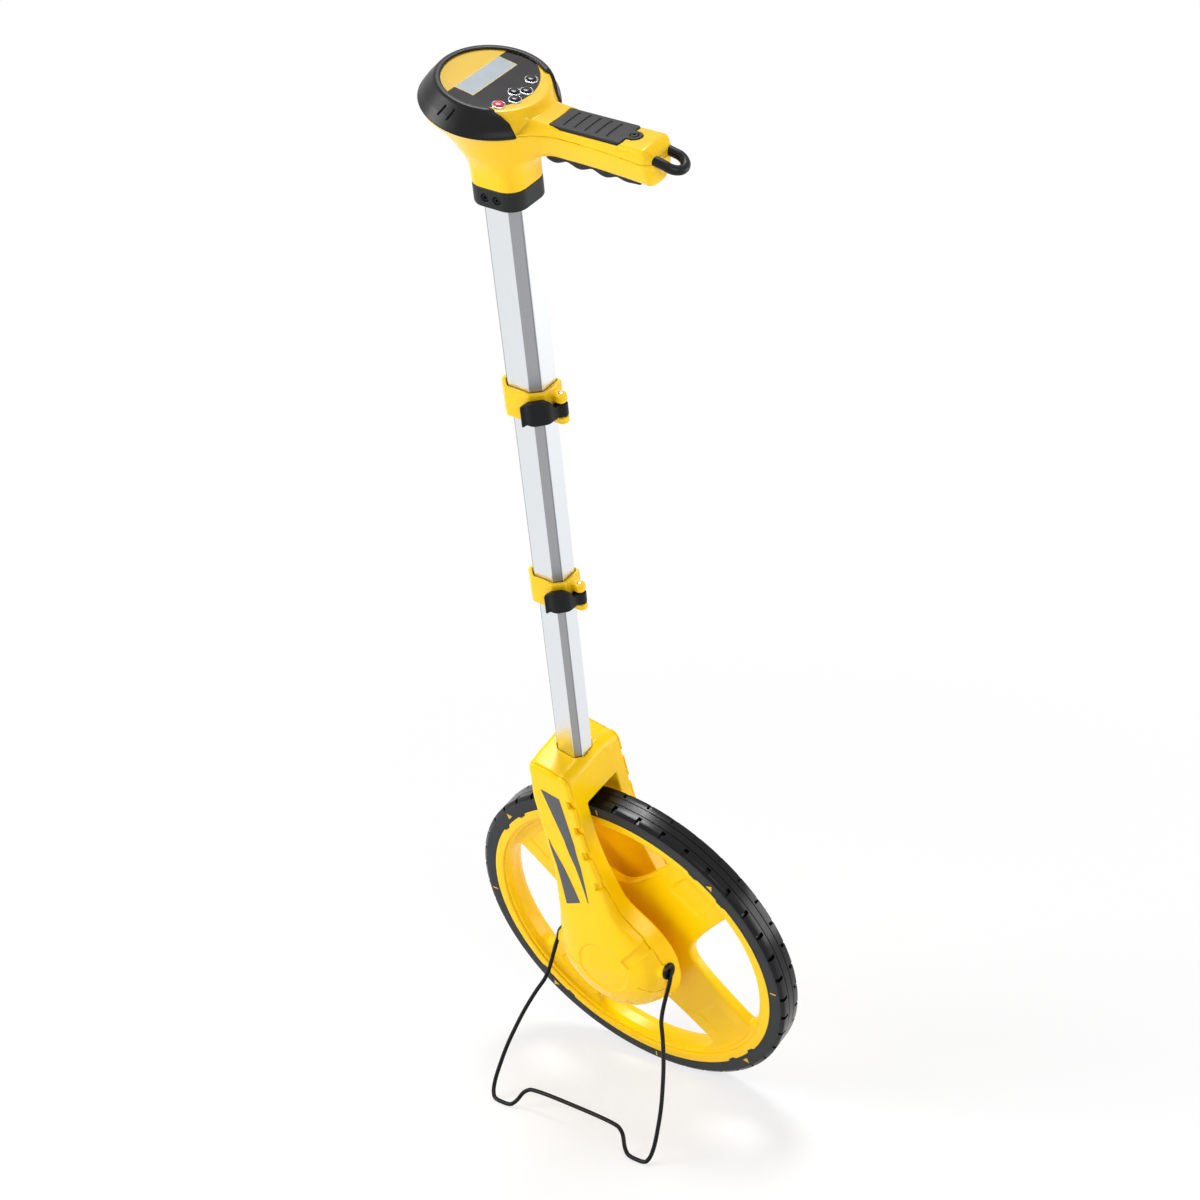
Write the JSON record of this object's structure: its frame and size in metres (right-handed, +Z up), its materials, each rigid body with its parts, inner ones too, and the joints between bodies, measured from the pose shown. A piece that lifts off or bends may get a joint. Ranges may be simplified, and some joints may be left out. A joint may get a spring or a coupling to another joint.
{
  "type": "measuring wheel",
  "caption": "Measuring wheel with a telescopic mast, clamp levers, display head, hooked handle and a fold-up wire stand, standing tilted on its tyre and stand.",
  "frame": {"origin": "point where the tread's near edge touches the ground", "axes": "+Z up from the ground, +X the way the handle points, -Y towards the stand"},
  "size_m": [0.4737, 0.4493, 1.1344],
  "materials": {
    "tyre_rubber": "moulded matt rubber with printed marks",
    "yellow_plastic": "satin moulded plastic",
    "black_plastic": "satin moulded plastic",
    "black_rubber": "soft matt rubber",
    "grey_plastic": "fine matt texture",
    "panel_plastic": "matt film",
    "natural_plastic": "plain bearing plastic",
    "white_plastic": "gloss",
    "red_plastic": "soft gloss",
    "tube_aluminium": "fine satin anodising",
    "steel": "plain zinc plate",
    "coated_wire": "black coating",
    "circuit_board": "solder mask",
    "cell_can": "plain wrapper",
    "display_glass": "clear window"
  },
  "bodies": {
    "fork": {"fork_frame": "yellow_plastic", "near_arm_cover": "yellow_plastic", "far_arm_cover": "yellow_plastic", "axle": "steel", "axle_spacers": "steel", "axle_nuts": "steel", "sensor_board": "circuit_board", "stand_bushings": "black_plastic", "lower_tube": "tube_aluminium", "tube_plug": "black_plastic", "crown_bolt": "steel", "lower_tube_guide": "black_plastic"},
    "wheel": {"tyre": "tyre_rubber", "wheel": "yellow_plastic", "wheel_bushes": "natural_plastic", "encoder_ring": "grey_plastic", "encoder_magnets": "steel"},
    "stand": {"stand": "coated_wire"},
    "middle_mast": {"middle_tube": "tube_aluminium", "lower_clamp": "yellow_plastic", "lower_lever_pin": "steel", "middle_tube_guide": "black_plastic"},
    "lower_lever": {"lower_lever": "black_plastic"},
    "upper_mast": {"upper_tube": "tube_aluminium", "upper_clamp": "yellow_plastic", "upper_lever_pin": "steel", "head_collar": "black_plastic", "collar_screws": "steel", "lower_shell": "yellow_plastic", "upper_shell": "yellow_plastic", "bumper": "black_rubber", "face_panel": "panel_plastic", "display_window": "display_glass", "display_module": "grey_plastic", "main_board": "circuit_board", "switches": "black_plastic", "button_rings": "white_plastic", "battery_cover": "grey_plastic", "battery_screw": "steel", "battery_cells": "cell_can", "battery_contacts": "steel", "finger_grip": "black_rubber", "shell_screws": "steel", "hang_loop": "black_plastic"},
    "upper_lever": {"upper_lever": "black_plastic"},
    "red_button": {"red_button": "red_plastic"},
    "button_1": {"button_1": "black_rubber"},
    "button_2": {"button_2": "black_rubber"},
    "button_3": {"button_3": "black_rubber"},
    "button_4": {"button_4": "black_rubber"}
  },
  "joints": [
    {"name": "wheel_spin", "type": "hinge", "parent": "fork", "child": "wheel", "pos_m": [0, -0.05131, 0.18754], "axis": [0, 0.9448, 0.3278], "continuous": true},
    {"name": "stand_fold", "type": "hinge", "parent": "fork", "child": "stand", "pos_m": [0, -0.09008, 0.17727], "axis": [-1, 0, 0], "range_deg": [0, 120]},
    {"name": "middle_slide", "type": "slide", "parent": "fork", "child": "middle_mast", "axis": [0.1685, -0.3231, 0.9312], "range_m": [-0.185, 0]},
    {"name": "upper_slide", "type": "slide", "parent": "middle_mast", "child": "upper_mast", "axis": [0.1685, -0.3231, 0.9312], "range_m": [-0.175, 0]},
    {"name": "lower_lever_turn", "type": "hinge", "parent": "middle_mast", "child": "lower_lever", "pos_m": [0.05248, -0.20349, 0.62619], "axis": [0.1685, -0.3231, 0.9312], "range_deg": [0, 110]},
    {"name": "upper_lever_turn", "type": "hinge", "parent": "upper_mast", "child": "upper_lever", "pos_m": [0.09101, -0.27349, 0.82795], "axis": [0.1685, -0.3231, 0.9312], "range_deg": [0, 110]},
    {"name": "red_button_press", "type": "slide", "parent": "upper_mast", "child": "red_button", "axis": [-0.3453, 0.3076, -0.8866], "range_m": [0, 0.0012], "stiffness_N_per_m": 400},
    {"name": "button_1_press", "type": "slide", "parent": "upper_mast", "child": "button_1", "axis": [-0.3453, 0.3076, -0.8866], "range_m": [0, 0.0012], "stiffness_N_per_m": 400},
    {"name": "button_2_press", "type": "slide", "parent": "upper_mast", "child": "button_2", "axis": [-0.3453, 0.3076, -0.8866], "range_m": [0, 0.0012], "stiffness_N_per_m": 400},
    {"name": "button_3_press", "type": "slide", "parent": "upper_mast", "child": "button_3", "axis": [-0.3453, 0.3076, -0.8866], "range_m": [0, 0.0012], "stiffness_N_per_m": 400},
    {"name": "button_4_press", "type": "slide", "parent": "upper_mast", "child": "button_4", "axis": [-0.3453, 0.3076, -0.8866], "range_m": [0, 0.0012], "stiffness_N_per_m": 400}
  ]
}
